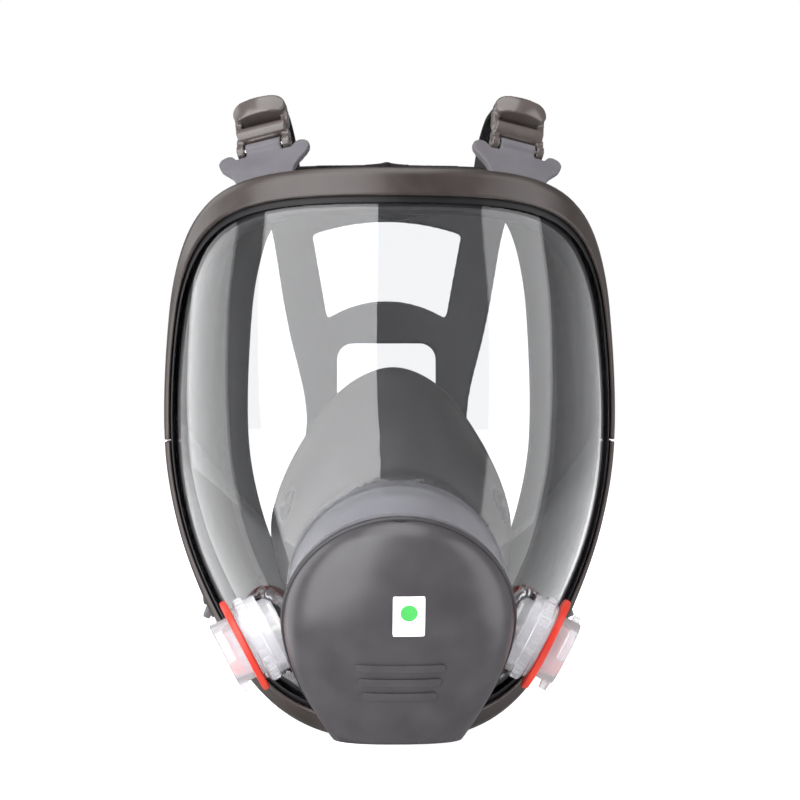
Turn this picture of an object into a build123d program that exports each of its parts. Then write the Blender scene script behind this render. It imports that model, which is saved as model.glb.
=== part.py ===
"""Full face respirator: a wide moulded visor clamped in a two-part frame, a rubber face seal, a nose cup,
a centre adapter with its exhalation valve and hood, two bayonet filter ports and a strap harness.

Millimetres. +Z is up, the wearer looks along -Y, and +X is the wearer's left.
The origin is the centre of the face opening, level with the joints between the two frame halves.
"""
from build123d import *
import math
import os

os.makedirs("parts", exist_ok=True)

# ---------------------------------------------------------------- driving dimensions
VISOR_THICK = 2.4            # polycarbonate wall
VISOR_TOP = 105.0            # height of the visor's upper edge on the middle line
VISOR_BOTTOM = -111.0        # height of its lower edge
EDGE_ANGLE = 85.0            # how far round the face the visor's side edges reach, in degrees
TOP_SQUARENESS = 3.4         # superellipse powers of the visor's outline
BOTTOM_SQUARENESS = 3.0
SIDE_PLANE = 5.0             # y where the visor's sides run straight back

# The visor's half width and how far its front stands forward, each at a few heights.
HALF_WIDTHS = ((-125, 42), (-100, 58), (-73, 72), (-37, 85.5), (0, 91.5), (55, 89.5), (94, 83), (125, 76))
FRONT_REACH = ((-125, 56), (-100, 82), (-75, 97), (-45, 102), (0, 93), (55, 79), (105, 64), (125, 58))

GAP = 0.3                    # clearance between neighbours that only touch
LIP_REACH = 9.5              # how far the seal's lips cover the visor's edge
FRAME_REACH = 7.0            # how far the frame's lips reach over it

ADAPTER_BASE = (0, -97.0, -60.0)   # where the centre adapter's axis crosses the visor
ADAPTER_TILT = 25.0          # degrees the adapter looks down
COLLAR_R = 42.5              # outer radius of the visor's moulded collar
ADAPTER_R = 39.0             # outer radius of the adapter's tube

PORT_CENTRE = (61.0, -69.0, -79.5)   # middle of the right port's gasket, outer face
PORT_AXIS = (0.885, -0.08, -0.46)
PORT_BORE_R = 11.5
GASKET_R = 19.5

STRAP_WIDTH = 16.0
STRAP_THICK = 2.2
BUCKLE_WIDTH = 23.0
PIN_R = 1.3


# ---------------------------------------------------------------- small helpers
def smooth(at, stops):
    """A curve through the stops with even slopes (a cardinal spline)."""
    last = len(stops) - 1
    i = max(k for k in range(last) if k == 0 or stops[k][0] <= at)
    (x0, y0), (x1, y1) = stops[i], stops[i + 1]

    def slope(k):
        a, b = stops[max(k - 1, 0)], stops[min(k + 1, last)]
        return (b[1] - a[1]) / (b[0] - a[0])

    span = x1 - x0
    f = (at - x0) / span
    return (y0 * (1 + 2 * f) * (1 - f) ** 2 + y1 * f * f * (3 - 2 * f)
            + span * f * (1 - f) * (slope(i) * (1 - f) - slope(i + 1) * f))


def power(value, p):
    return math.copysign(abs(value) ** p, value)


def mirrored(shape):
    return mirror(shape, about=Plane.YZ)


def both_sides(shape):
    """The shape and its mirror image as one group of separate solids."""
    return Compound(children=[*shape.solids(), *mirrored(shape).solids()])


def whole(half):
    """One solid from a right half that ends on the middle plane."""
    return half + mirrored(half)


def rod(plane, radius, low, high):
    """A cylinder along a plane's normal, from low to high."""
    return plane.offset(low) * Cylinder(radius, high - low, align=(Align.CENTER, Align.CENTER, Align.MIN))


def ring(plane, outer, inner, low, high):
    return rod(plane, outer, low, high) - rod(plane, inner, low - 1, high + 1)


def section(points):
    return Face(Wire.make_polygon([Vector(*p) for p in points], close=True))


def save(shape, node):
    shape = Compound(children=[s for s in shape.solids()]) if len(shape.solids()) > 1 else shape.solids()[0]
    export_step(shape, f"parts/{node}.step")


# ---------------------------------------------------------------- the visor's surface and outline
def on_visor(angle, z, out=0.0):
    """A point of the visor's outer surface: angle 0 is the front, 90 the side. out moves it along the normal."""
    def point(a, h):
        wide, reach = smooth(h, HALF_WIDTHS), smooth(h, FRONT_REACH)
        return Vector(wide * math.sin(a), SIDE_PLANE - (reach + SIDE_PLANE) * math.cos(a), h)

    a = math.radians(angle)
    here = point(a, z)
    round_face = point(a + 0.01, z) - point(a - 0.01, z)
    upward = point(a, z + 0.5) - point(a, z - 0.5)
    normal = round_face.cross(upward).normalized()
    return here + normal * out, normal


def outline(turn):
    """The visor's edge: turn -90 is the chin, 0 the right side, 90 the brow. Gives the angle and height."""
    c, s = math.cos(math.radians(turn)), math.sin(math.radians(turn))
    squareness = TOP_SQUARENESS if s > 0 else BOTTOM_SQUARENESS
    height = VISOR_TOP if s > 0 else -VISOR_BOTTOM
    return EDGE_ANGLE * power(c, 2 / squareness), height * power(s, 2 / squareness)


def edge_table(count=721):
    """Points of the right half of the edge with their distance along it, from the chin to the brow."""
    rows, length, before = [], 0.0, None
    for k in range(count):
        turn = -90 + 180 * k / (count - 1)
        angle, z = outline(turn)
        point = on_visor(angle, z)[0]
        length += (point - before).length if before else 0.0
        rows.append((length, angle, z))
        before = point
    return rows


EDGE = edge_table()
EDGE_LENGTH = EDGE[-1][0]
SIDE_JOINT = min(EDGE, key=lambda row: abs(row[2]))[0] / EDGE_LENGTH


def edge_at(share):
    """The angle and height at a share of the half edge's length."""
    want = share * EDGE_LENGTH
    k = next((i for i, row in enumerate(EDGE) if row[0] >= want), len(EDGE) - 1)
    if k == 0:
        return EDGE[0][1:]
    (l0, a0, z0), (l1, a1, z1) = EDGE[k - 1], EDGE[k]
    f = (want - l0) / (l1 - l0)
    return a0 + (a1 - a0) * f, z0 + (z1 - z0) * f


def edge_frame(share):
    """Point, outward direction within the surface and surface normal at a share of the half edge."""
    step = 0.004
    here, normal = on_visor(*edge_at(share))
    if share <= 0 or share >= 1:
        along = Vector(1 if share <= 0 else -1, 0, 0)
    else:
        along = on_visor(*edge_at(min(1, share + step)))[0] - on_visor(*edge_at(max(0, share - step)))[0]
    return here, along.cross(normal).normalized(), normal


def along_edge(profile, low=0.0, high=1.0, count=37):
    """A solid whose cross-section at each place on the half edge is profile(share), a list of (outward, normal)."""
    faces = []
    for k in range(count):
        share = low + (high - low) * k / (count - 1)
        here, outward, normal = edge_frame(share)
        points = [here + outward * b + normal * n for b, n in profile(share)]
        if share <= 0 or share >= 1:
            points = [Vector(0, p.Y, p.Z) for p in points]
        faces.append(section([tuple(p) for p in points]))
    return Solid.make_loft([f.outer_wire() for f in faces])


def visor_body(inset, back, low=-124.0, high=124.0, count=15):
    """The solid inside the visor's surface, taken in by inset and closed by a flat back."""
    wires = []
    for k in range(count):
        z = low + (high - low) * k / (count - 1)
        points = []
        for angle in range(-96, 97, 12):
            here, normal = on_visor(angle, z)
            level = Vector(normal.X, normal.Y, 0)
            points.append(here - level.normalized() * (inset / level.length))
        arc = Spline(*points)
        right, left = points[-1], points[0]
        tail = Polyline(right, Vector(right.X, back, z), Vector(left.X, back, z), left)
        wires.append(Wire([arc, *tail.edges()]))
    return Solid.make_loft(wires)


# ---------------------------------------------------------------- planes of the adapter and ports
def facing(origin, axis, x_dir):
    return Plane(origin=origin, x_dir=x_dir, z_dir=axis)


tilt = math.radians(ADAPTER_TILT)
ADAPTER = facing(ADAPTER_BASE, (0, -math.cos(tilt), -math.sin(tilt)), (1, 0, 0))
PORT = facing(PORT_CENTRE, PORT_AXIS, (0, 1, 0))


# ---------------------------------------------------------------- visor
def make_visor():
    """A curved shell with a moulded collar for the centre adapter and a boss for each filter port."""
    outer = visor_body(0, SIDE_PLANE + 20)
    inner = visor_body(VISOR_THICK, SIDE_PLANE + 30, -126.0, 126.0)
    collar = rod(ADAPTER, COLLAR_R, -14, 5)
    boss = rod(PORT, 17.0, -34, -3.2)
    shell = outer + collar + boss + mirrored(boss) - inner
    bore = rod(PORT, 13.6, -40, 5)
    shell = shell - rod(ADAPTER, ADAPTER_R + GAP, -30, 20) - bore - mirrored(bore)
    moat = along_edge(lambda share: [(0, -9), (40, -9), (40, 9), (0, 9)])
    shell = shell - moat - mirrored(moat)
    return max(shell.solids(), key=lambda s: s.volume)


# ---------------------------------------------------------------- frame
FRAME_PROFILE = [(-FRAME_REACH, 1.9), (2.7, 1.9), (2.7, -4.5), (-5.5, -4.5), (-5.5, -6.7),
                 (3.9, -6.7), (5.1, -5.5), (5.1, 2.6), (3.7, 4.0), (-6.2, 4.0), (-FRAME_REACH, 3.3)]


def frame_half(low, high):
    """A U channel round the visor's edge, from one side joint to the other."""
    return whole(along_edge(lambda share: FRAME_PROFILE, low, high, 21))


JOINT_POINT, JOINT_BACK, JOINT_OUT = edge_frame(SIDE_JOINT)
JOINT = Plane(origin=JOINT_POINT, x_dir=JOINT_OUT, z_dir=(0, 0, 1))


def clamp_lug(low, high):
    """The ear behind the frame that takes the clamp screw at one side joint."""
    block = JOINT.offset(low) * Pos(-1.0, 8.2) * Box(7, 7.2, high - low,
                                                     align=(Align.CENTER, Align.CENTER, Align.MIN))
    hole = JOINT * Pos(-1.0, 8.6, low - 1) * Cylinder(1.7, high - low + 2,
                                                      align=(Align.CENTER, Align.CENTER, Align.MIN))
    return block - hole


def clamp_rod(radius, low, high):
    return JOINT * Pos(-1.0, 8.6, low) * Cylinder(radius, high - low,
                                                  align=(Align.CENTER, Align.CENTER, Align.MIN))


JOINT_GAP = 0.0012           # share of the half edge left open at each side joint


def make_frame():
    upper = frame_half(SIDE_JOINT + JOINT_GAP, 1.0)
    lower = frame_half(0.0, SIDE_JOINT - JOINT_GAP)
    lug_up, lug_down = clamp_lug(0.3, 9.0), clamp_lug(-9.0, -0.3)
    upper = upper + lug_up + mirrored(lug_up)
    lower = lower + lug_down + mirrored(lug_down)
    screw = clamp_rod(1.5, -8.5, 9.2) + clamp_rod(2.8, 9.2, 11.4)
    screw = screw - JOINT * Pos(-1.0, 8.6, 10.2) * Box(0.8, 4.4, 3)
    nut = JOINT * Pos(-1.0, 8.6, -11.7) * extrude(RegularPolygon(2.9, 6), 2.5)
    nut = nut - clamp_rod(1.6, -12, -9)
    return upper, lower, both_sides(screw), both_sides(nut)


# ---------------------------------------------------------------- face seal
def seal_profile(share):
    """Bead round the visor's edge, a neck, and a flange that turns in to meet the face."""
    side = math.sin(math.pi * min(1, share / (2 * SIDE_JOINT)) if share < SIDE_JOINT
                    else math.pi * (1 - (1 - share) / (2 * (1 - SIDE_JOINT))))
    end_out = side * 19 + (1 - side) * (7 if share < SIDE_JOINT else -2)
    end_in = side * -33 + (1 - side) * (-34 if share < SIDE_JOINT else -33)
    bead = [(2.3, -4.1), (2.3, 1.5), (-LIP_REACH, 1.5), (-LIP_REACH, 0.35), (0.8, 0.35), (0.8, -2.8),
            (-12.0, -3.5)]
    outside = [(-9.8, -4.1), (-9.4, -8.0), (-3.5, -11.5), (end_out * 0.55 + 2, -14.5),
               (end_out + 1.5, end_in * 0.62), (end_out + 0.5, end_in * 0.86), (end_out - 4, end_in)]
    inside = [(end_out - 5.2, end_in + 1.8), (end_out - 2.2, end_in * 0.86 + 1.2),
              (end_out - 1.3, end_in * 0.62 + 1.2), (end_out * 0.5 - 0.5, -12.4 - 4.4),
              (-6.2, -13.4), (-12.2, -9.4)]
    return bead + inside[::-1] + outside[::-1]


def make_seal():
    body = along_edge(seal_profile)
    return whole(body)


# ---------------------------------------------------------------- tabs and buckles
def strap_plane(origin, along, across):
    """A plane whose x runs across a strap, y along it and z out of its front."""
    u = Vector(*across).normalized()
    v = Vector(*along)
    v = (v - u * v.dot(u)).normalized()
    return Plane(origin=origin, x_dir=u, z_dir=u.cross(v))


UPPER_PIN = (53, -7, 123)
UPPER_ACROSS = (0.95, 0.2, -0.22)
LOWER_PIN = (73, 24, -60)
LOWER_ACROSS = (0.35, -0.24, -0.9)
UPPER_TAB = strap_plane(UPPER_PIN, (0.083, 0.69, 0.718), UPPER_ACROSS)
UPPER_BUCKLE = strap_plane(UPPER_PIN, (0.03, 0.53, 0.85), UPPER_ACROSS)
LOWER_TAB = strap_plane(LOWER_PIN, (0.25, 0.93, -0.22), LOWER_ACROSS)
LOWER_BUCKLE = strap_plane(LOWER_PIN, (-0.02, 0.97, -0.2), LOWER_ACROSS)


def across_rod(plane, radius, low, high):
    """A cylinder along a strap plane's width, about its origin."""
    turned = Plane(origin=plane.origin, x_dir=plane.z_dir, z_dir=plane.x_dir)
    return rod(turned, radius, low, high)


def make_tab(plane, length):
    """A rubber tab: a loop for the buckle's pin, two broad horns beside it, and a root in the seal."""
    loop = 7.6
    horn = [(12.4, -4.4), (16.5, -1.6), (19.4, -3.6), (18.8, -8.6), (14.8, -13.5), (12.4, -19), (12.6, -25),
            (14, -length)]
    edges = []
    for side in (1, -1):
        edges += Polyline((side * loop, 0), (side * loop, -4.4), (side * 12.4, -4.4)).edges()
        edges += Spline(*[(side * x, y) for x, y in horn]).edges()
    edges += Line((-14, -length), (14, -length)).edges()
    edges += Line((-loop, 0), (loop, 0)).edges()
    sheet = extrude(make_face(edges), 1.4, both=True)
    return plane * sheet + across_rod(plane, 3.0, -loop, loop) - across_rod(plane, PIN_R + 0.15, -10, 10)


def make_buckle(plane):
    """A strap buckle: two eyes on the pin, a broad lower bar, a slit for the strap and a domed thumb plate."""
    half = BUCKLE_WIDTH / 2
    body = extrude(Pos(0, 12.9) * RectangleRounded(BUCKLE_WIDTH, 18.4, 6.5), 1.8, both=True)
    plate = extrude(Pos(0, 17.6) * RectangleRounded(BUCKLE_WIDTH, 9, 4.4), 8)
    dome = Pos(0, 17.5, -14.6) * Sphere(22) & plate
    bar = Pos(0, 7.6, 0.8) * Rot(0, 90, 0) * Cylinder(3.5, BUCKLE_WIDTH - 2)
    slit = Pos(0, 12.4) * Box(STRAP_WIDTH + 1.2, 2.2, 20)
    pocket = Pos(0, 17.4, -2.0) * Box(STRAP_WIDTH + 1.2, 7, 2.6)
    body = plane * (body + dome + bar - slit - pocket)
    for side in (1, -1):
        low, high = sorted((side * half, side * (half - 3.1)))
        eye = across_rod(plane, 3.2, low, high)
        body = body + eye + plane * Pos(side * (half - 1.55), 3.4, 0) * Box(3.1, 5, 3.6)
    return body - across_rod(plane, PIN_R + 0.05, -half - 1, half + 1)


def make_pin(plane):
    half = BUCKLE_WIDTH / 2
    return across_rod(plane, PIN_R, 0.4 - half, half - 0.4)


def make_slack(plane):
    """The stretch of strap that lies behind the buckle and turns with it."""
    return plane * Pos(0, 11.0, -4.4) * Box(STRAP_WIDTH, 13.5, STRAP_THICK)


# ---------------------------------------------------------------- head harness
WEB_AXIS_Y = -36.0           # the upright axis of the barrel that the web lies on
WEB_R = 94.0
WEB_THICK = 2.6


def make_web():
    """A rubber web with three openings, curved like the back of a head."""
    outer = [(0, 122), (34, 119.5), (53, 113), (51, 90), (48.5, 76), (42, 40), (36, 4), (38, -18),
             (30, -36), (0, -40)]
    right = Spline(*[Vector(x, z) for x, z in outer])
    left = Spline(*[Vector(-x, z) for x, z in outer])
    plate = make_face([*right.edges(), *left.edges()])
    window = make_face([
        *ThreePointArc((-33, 89), (0, 95), (33, 89)).edges(), *Line((33, 89), (26.5, 52)).edges(),
        *ThreePointArc((26.5, 52), (0, 60), (-26.5, 52)).edges(), *Line((-26.5, 52), (-33, 89)).edges()])
    slot = Pos(0, 27) * RectangleRounded(44, 28, 7)
    lower = Pos(0, -10) * RectangleRounded(34, 20, 7)
    plate = plate - window - slot - lower
    block = Plane.XZ * extrude(plate, -130)
    profile = []
    for z in (-60, -20, 30, 80, 140):
        profile.append((WEB_R - (z - 35) ** 2 / 900, z))
    outside = Spline(*[Vector(r, 0, z) for r, z in profile])
    inside = Spline(*[Vector(r - WEB_THICK, 0, z) for r, z in profile])
    ends = [Line(outside @ 0, inside @ 0), Line(outside @ 1, inside @ 1)]
    strip = make_face([*outside.edges(), *inside.edges(), *ends[0].edges(), *ends[1].edges()])
    shell = Pos(0, WEB_AXIS_Y, 0) * revolve(strip, Axis.Z, 360)
    return block & shell


def make_strap(points, across_start, across_end, count=11):
    """A flat strap through the points, its width turning from across_start to across_end."""
    path = Spline(*[Vector(*p) for p in points])
    wires = []
    for k in range(count):
        f = k / (count - 1)
        here, along = path @ f, path % f
        wide = Vector(*across_start) * (1 - f) + Vector(*across_end) * f
        wide = (wide - along * wide.dot(along)).normalized()
        deep = along.cross(wide)
        corners = [(-1, -1), (1, -1), (1, 1), (-1, 1)]
        wires.append(Wire.make_polygon(
            [here + wide * (a * STRAP_WIDTH / 2) + deep * (b * STRAP_THICK / 2) for a, b in corners], close=True))
    return Solid.make_loft(wires)


def strap_point(plane, along, out):
    return tuple(plane.from_local_coords((0, along, out)))


def make_straps():
    """Straps from the buckles' far ends round to the web's corners."""
    upper = make_strap([strap_point(UPPER_BUCKLE, 19.4, -4.7), strap_point(UPPER_BUCKLE, 24, -6.6),
                        (51.5, 20, 139), (50, 34, 135), (46.5, 46, 122), (41, 54.0, 105)],
                       UPPER_ACROSS, (0.93, -0.37, -0.1))
    lower = make_strap([strap_point(LOWER_BUCKLE, 20, -4.8), strap_point(LOWER_BUCKLE, 25, -6.4),
                        (60, 57, -64), (49, 65.0, -54), (39, 65.5, -42), (31, 61, -28)],
                       tuple(-c for c in LOWER_ACROSS), (0.7, -0.3, 0.65))
    return upper, lower


# ---------------------------------------------------------------- centre adapter and exhalation valve
VALVE_R = 20.0


def spokes(plane, inner, outer, low, high, count=6, width=2.0):
    """Radial bars from a hub to a ring."""
    middle = (inner + outer) / 2
    return [plane * Rot(0, 0, 360 * k / count) * Pos(middle, 0, (low + high) / 2)
            * Box(outer - inner, width, high - low) for k in range(count)]


def make_adapter():
    """The tube through the visor's collar, its front flange and the spider that carries the exhalation valve."""
    body = ring(ADAPTER, ADAPTER_R, 36.5, -13, 9.8) + ring(ADAPTER, 44, 36.5, 7, 9.8)
    body = body + ring(ADAPTER, 37, VALVE_R - 2, -1.5, 1.0) + ring(ADAPTER, VALVE_R - 0.8, VALVE_R - 2, 1, 1.6)
    body = body + ring(ADAPTER, 4.5, 1.7, -1.5, 1.2)
    for bar in spokes(ADAPTER, 4, VALVE_R - 1.5, -1.5, 0.8):
        body = body + bar
    return body


def make_exhalation_valve():
    """A rubber disc with a stem that slides in the spider's hub."""
    stem = rod(ADAPTER, 1.64, -4.5, 2.5)
    return rod(ADAPTER, VALVE_R + 0.6, 1.9, 2.9) + stem + rod(ADAPTER, 2.6, -7.5, -4.5)


# ---------------------------------------------------------------- hood
HOOD_BASE = 10.1             # height of the hood's rim above the adapter's plane
HOOD_R = 43.5
HOOD_TALL = 21.0
HOOD_FOOT = -46.0            # how far below the axis the mouth is
HOOD_CUT = -110.0            # height of the level cut across the mouth


def hood_size(v):
    """Half width and height of the hood's cross-section at v above its axis."""
    if v >= 0:
        f = math.sqrt(max(0, 1 - (v / HOOD_R) ** 2))
        return HOOD_R * f, HOOD_TALL * f ** 0.8
    f = v / HOOD_FOOT
    return HOOD_R - 20 * f ** 1.8, HOOD_TALL + 1.5 * f


def hood_dome(grow, foot=HOOD_FOOT, base=HOOD_BASE):
    """The solid under the hood's outer surface, grown by grow on every side."""
    wires = []
    top = HOOD_R - 0.35
    for k in range(13):
        v = top * math.sin(math.radians(15 * (k - 6))) if k > 6 else foot * (1 - k / 6)
        wide, tall = hood_size(max(HOOD_FOOT, v))
        wide, tall = max(1.5, wide + grow), max(0.8, tall + grow) + HOOD_BASE - base
        bow = [(wide * power(math.cos(math.radians(t)), 0.85),
                base + tall * abs(math.sin(math.radians(t))) ** 0.85)
               for t in range(0, 181, 15)]
        lift = grow if k > 11 else 0
        points = [ADAPTER.from_local_coords((x, v + lift, s)) for x, s in bow]
        wires.append(Wire([*Spline(*points).edges(), *Line(points[-1], points[0]).edges()]))
    return Solid.make_loft(wires)


def make_hood():
    """The cover over the exhalation valve, open at its foot, with the slot of its latch at the top."""
    shell = hood_dome(0) - hood_dome(-2.2, HOOD_FOOT - 4, HOOD_BASE - 3)
    notch = ADAPTER * Pos(0, HOOD_R - 2, HOOD_BASE + 2.4) * Box(6, 9, 4.8)
    below = Pos(0, -110, HOOD_CUT - 20) * Box(120, 120, 40)
    shell = shell - notch - below
    return max(shell.solids(), key=lambda s: s.volume)


def make_label():
    patch = ADAPTER * Pos(3, 13, 30) * Box(12, 16, 30)
    return (hood_dome(0.7) - hood_dome(0.3)) & patch


# ---------------------------------------------------------------- filter ports
CONNECTOR_END = -18.5        # inner end of the tube
BORE_END = -12.0             # where the filter's bore stops and the valve's seat begins


def make_connector():
    """A clear bayonet connector: a tube with three lugs outside and a valve spider at its inner end."""
    body = ring(PORT, 13.2, PORT_BORE_R, BORE_END, 7.5) + ring(PORT, 13.2, PORT_BORE_R - 0.5, CONNECTOR_END, BORE_END)
    for k in range(3):
        sector = PORT * Rot(0, 0, 120 * k + 20) * Pos(12, 0, 5.3) * Box(14, 13, 6)
        body = body + (ring(PORT, 16.5, 12.5, 3.8, 6.8) & sector)
    body = body + ring(PORT, 3.2, 1.35, -16.4, -15)
    for bar in spokes(PORT, 2.8, PORT_BORE_R, -16.4, -15, count=4, width=1.6):
        body = body + bar
    return body


def make_inhalation_valve():
    return rod(PORT, 10.5, -17.6, -16.7) + rod(PORT, 1.29, -17, -13.6) + rod(PORT, 2.2, -13.6, -12.2)


def make_port_gasket():
    return ring(PORT, GASKET_R, 13.5, -2.9, 0)


# ---------------------------------------------------------------- nose cup
CUP_RIM = ((0, 52), (20, 35), (36, 6), (47, -19), (50, -38), (43, -58), (26, -71), (0, -75))
CUP_WALL = 2.0
CUP_PORT = facing((40.0, -42.0, -26.0), (0.86, -0.45, 0.25), (0, 0, 1))


def closed_curve(points):
    """A smooth closed wire through the right half's points and their mirror images."""
    half = [Vector(*p) for p in points]
    rest = [Vector(-p.X, p.Y, p.Z) for p in half[-2:0:-1]]
    return Wire(Spline(*half, *rest, periodic=True).edges())


def cup_wire(f, inset, back, front):
    """A section of the nose cup: f is 0 on the upright plane y = back and 1 at front on the adapter's axis."""
    points = []
    last = len(CUP_RIM) - 1
    centre = Vector(0, back, -28) * (1 - f) + ADAPTER.from_local_coords((0, 0, front)) * f
    for k, (x, z) in enumerate(CUP_RIM):
        turn = math.radians(90 - 180 * k / last)
        end = ADAPTER.from_local_coords((36.5 * math.cos(turn), 36.5 * math.sin(turn), front))
        way = Vector(x, back, z) * (1 - f) + end * f
        point = way + (way - centre).normalized() * (3.5 * math.sin(math.pi * f) - inset)
        points.append((point.X if 0 < k < last else 0, point.Y, point.Z))
    return closed_curve(points)


def make_nose_cup():
    """A soft cup round the mouth and nose, open to the face and at its front ring."""
    stages = (0, 0.25, 0.5, 0.75, 1)
    outer = Solid.make_loft([cup_wire(f, 0, -8, -15.5) for f in stages])
    inner = Solid.make_loft([cup_wire(f, CUP_WALL, -6, -14) for f in stages])
    curve = Spline((-60, -10), (-48, -16), (-33, -23), (-17, -33), (0, -39),
                   (17, -33), (33, -23), (48, -16), (60, -10))
    rest = Polyline((60, -10), (60, 20), (-60, 20), (-60, -10))
    face = extrude(make_face([*curve.edges(), *rest.edges()]), 200)
    cup = outer - inner - Pos(0, 0, -130) * face
    hole = rod(CUP_PORT, 8.5, -8, 8)
    return max((cup - hole - mirrored(hole)).solids(), key=lambda s: s.volume)


def make_cup_seat():
    """The hard ring and spider of a nose cup valve."""
    body = ring(CUP_PORT, 8.1, 6.6, -3, 3) + ring(CUP_PORT, 1.9, 0.85, 1.4, 3)
    for bar in spokes(CUP_PORT, 1.6, 7.0, 1.4, 3, count=4, width=1.3):
        body = body + bar
    return body


def make_cup_flap():
    return rod(CUP_PORT, 6.3, 0.4, 1.1) + rod(CUP_PORT, 0.79, 1.0, 4.2) + rod(CUP_PORT, 1.5, 4.2, 5.2)


# ---------------------------------------------------------------- all pieces
def build():
    """Every piece by its node name."""
    upper_frame, lower_frame, screws, nuts = make_frame()
    seal = make_seal()
    pieces = {
        "visor": make_visor(), "frame_upper": upper_frame, "frame_lower": lower_frame,
        "frame_screws": screws, "frame_nuts": nuts,
        "adapter_body": make_adapter(), "adapter_gasket": ring(ADAPTER, 42, 39.4, 5.3, 6.7),
        "exhalation_valve": make_exhalation_valve(), "exhalation_hood": make_hood(), "hood_label": make_label(),
        "nose_cup": make_nose_cup(),
    }
    for plane, name, length in ((UPPER_TAB, "upper", 34), (LOWER_TAB, "lower", 30)):
        tab = make_tab(plane, length) - seal
        pieces[f"tabs_{name}"] = both_sides(max(tab.solids(), key=lambda s: s.volume))
    pieces["face_seal"] = seal
    for plane, name in ((UPPER_BUCKLE, "upper"), (LOWER_BUCKLE, "lower")):
        buckle, slack = make_buckle(plane), make_slack(plane)
        pieces[f"buckle_{name}_left"], pieces[f"buckle_{name}_right"] = buckle, mirrored(buckle)
        pieces[f"slack_{name}_left"], pieces[f"slack_{name}_right"] = slack, mirrored(slack)
        pieces[f"buckle_pins_{name}"] = both_sides(make_pin(plane))
    upper_strap, lower_strap = make_straps()
    pieces["head_harness"] = make_web()
    pieces["straps_upper"], pieces["straps_lower"] = both_sides(upper_strap), both_sides(lower_strap)
    for name, piece in (("port_gasket", make_port_gasket()), ("port_connector", make_connector()),
                        ("inhalation_valve", make_inhalation_valve()), ("cup_valve_seat", make_cup_seat()),
                        ("cup_valve", make_cup_flap())):
        pieces[f"{name}_left"], pieces[f"{name}_right"] = piece, mirrored(piece)
    return pieces


if __name__ == "__main__":
    for node, piece in build().items():
        save(piece, node)
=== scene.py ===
# %% [markdown]
# # Full face respirator
# A clear wrap-round visor sits in a two-part moulded frame. Behind it are a rubber face seal, a soft nose cup
# and a rubber head harness. Low on the front a domed hood covers the exhalation valve, and each side has a
# clear filter port with a red gasket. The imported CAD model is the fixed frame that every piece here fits.

# %% Load the frame
import bmesh
import bpy
import math
from mathutils import Matrix, Vector
from mathutils.bvhtree import BVHTree


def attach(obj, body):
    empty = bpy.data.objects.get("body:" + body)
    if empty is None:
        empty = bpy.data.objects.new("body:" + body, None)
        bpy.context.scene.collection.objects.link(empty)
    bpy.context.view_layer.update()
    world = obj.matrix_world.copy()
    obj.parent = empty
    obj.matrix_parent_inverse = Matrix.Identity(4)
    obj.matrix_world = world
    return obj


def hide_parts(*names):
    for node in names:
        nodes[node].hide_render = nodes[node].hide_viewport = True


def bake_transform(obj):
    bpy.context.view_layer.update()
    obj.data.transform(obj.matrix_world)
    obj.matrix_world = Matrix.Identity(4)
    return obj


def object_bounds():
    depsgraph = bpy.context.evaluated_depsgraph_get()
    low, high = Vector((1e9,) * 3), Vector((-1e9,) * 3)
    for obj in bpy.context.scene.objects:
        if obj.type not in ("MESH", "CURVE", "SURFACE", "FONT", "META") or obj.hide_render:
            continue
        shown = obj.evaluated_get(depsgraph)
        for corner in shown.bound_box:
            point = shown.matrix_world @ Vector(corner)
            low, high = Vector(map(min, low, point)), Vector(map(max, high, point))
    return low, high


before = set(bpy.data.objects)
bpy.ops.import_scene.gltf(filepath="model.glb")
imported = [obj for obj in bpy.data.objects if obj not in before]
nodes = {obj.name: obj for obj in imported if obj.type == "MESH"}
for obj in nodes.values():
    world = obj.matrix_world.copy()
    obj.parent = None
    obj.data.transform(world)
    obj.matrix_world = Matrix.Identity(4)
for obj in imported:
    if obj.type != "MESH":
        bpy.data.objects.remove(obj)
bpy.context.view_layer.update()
MM = 0.001

# %% [markdown]
# ## The visor's surface
# The visor is a tapered half barrel: at each height it has a half width and a forward reach, and it is an
# ellipse between them. Nearly every other piece follows that surface or its rounded edge, so it is written
# once as a function of an angle round the face and a height, both as in the CAD model.

# %% The visor's surface
HALF_WIDTHS = ((-125, 42), (-100, 58), (-73, 72), (-37, 85.5), (0, 91.5), (55, 89.5), (94, 83), (125, 76))
FRONT_REACH = ((-125, 56), (-100, 82), (-75, 97), (-45, 102), (0, 93), (55, 79), (105, 64), (125, 58))
SIDE_PLANE = 5.0


def smooth(at, stops):
    """A curve through the stops with even slopes."""
    last = len(stops) - 1
    i = max(k for k in range(last) if k == 0 or stops[k][0] <= at)
    (x0, y0), (x1, y1) = stops[i], stops[i + 1]

    def slope(k):
        a, b = stops[max(k - 1, 0)], stops[min(k + 1, last)]
        return (b[1] - a[1]) / (b[0] - a[0])

    span = x1 - x0
    f = (at - x0) / span
    return (y0 * (1 + 2 * f) * (1 - f) ** 2 + y1 * f * f * (3 - 2 * f)
            + span * f * (1 - f) * (slope(i) * (1 - f) - slope(i + 1) * f))


def on_visor(angle, z):
    """A point of the visor's outer face in millimetres and the normal there."""
    def point(a, h):
        wide, reach = smooth(h, HALF_WIDTHS), smooth(h, FRONT_REACH)
        return Vector((wide * math.sin(a), SIDE_PLANE - (reach + SIDE_PLANE) * math.cos(a), h))

    a = math.radians(angle)
    round_face = point(a + 0.01, z) - point(a - 0.01, z)
    upward = point(a, z + 0.5) - point(a, z - 0.5)
    return point(a, z), round_face.cross(upward).normalized()


print("middle of the visor", on_visor(0, 0)[0])

# %% [markdown]
# ## The visor's edge
# The edge is a superellipse on that surface, squarer at the brow than at the chin. Frame, seal and beads are
# sweeps along it, so it is turned into a route: a share of the half edge from the chin (0) to the brow (1).

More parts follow.
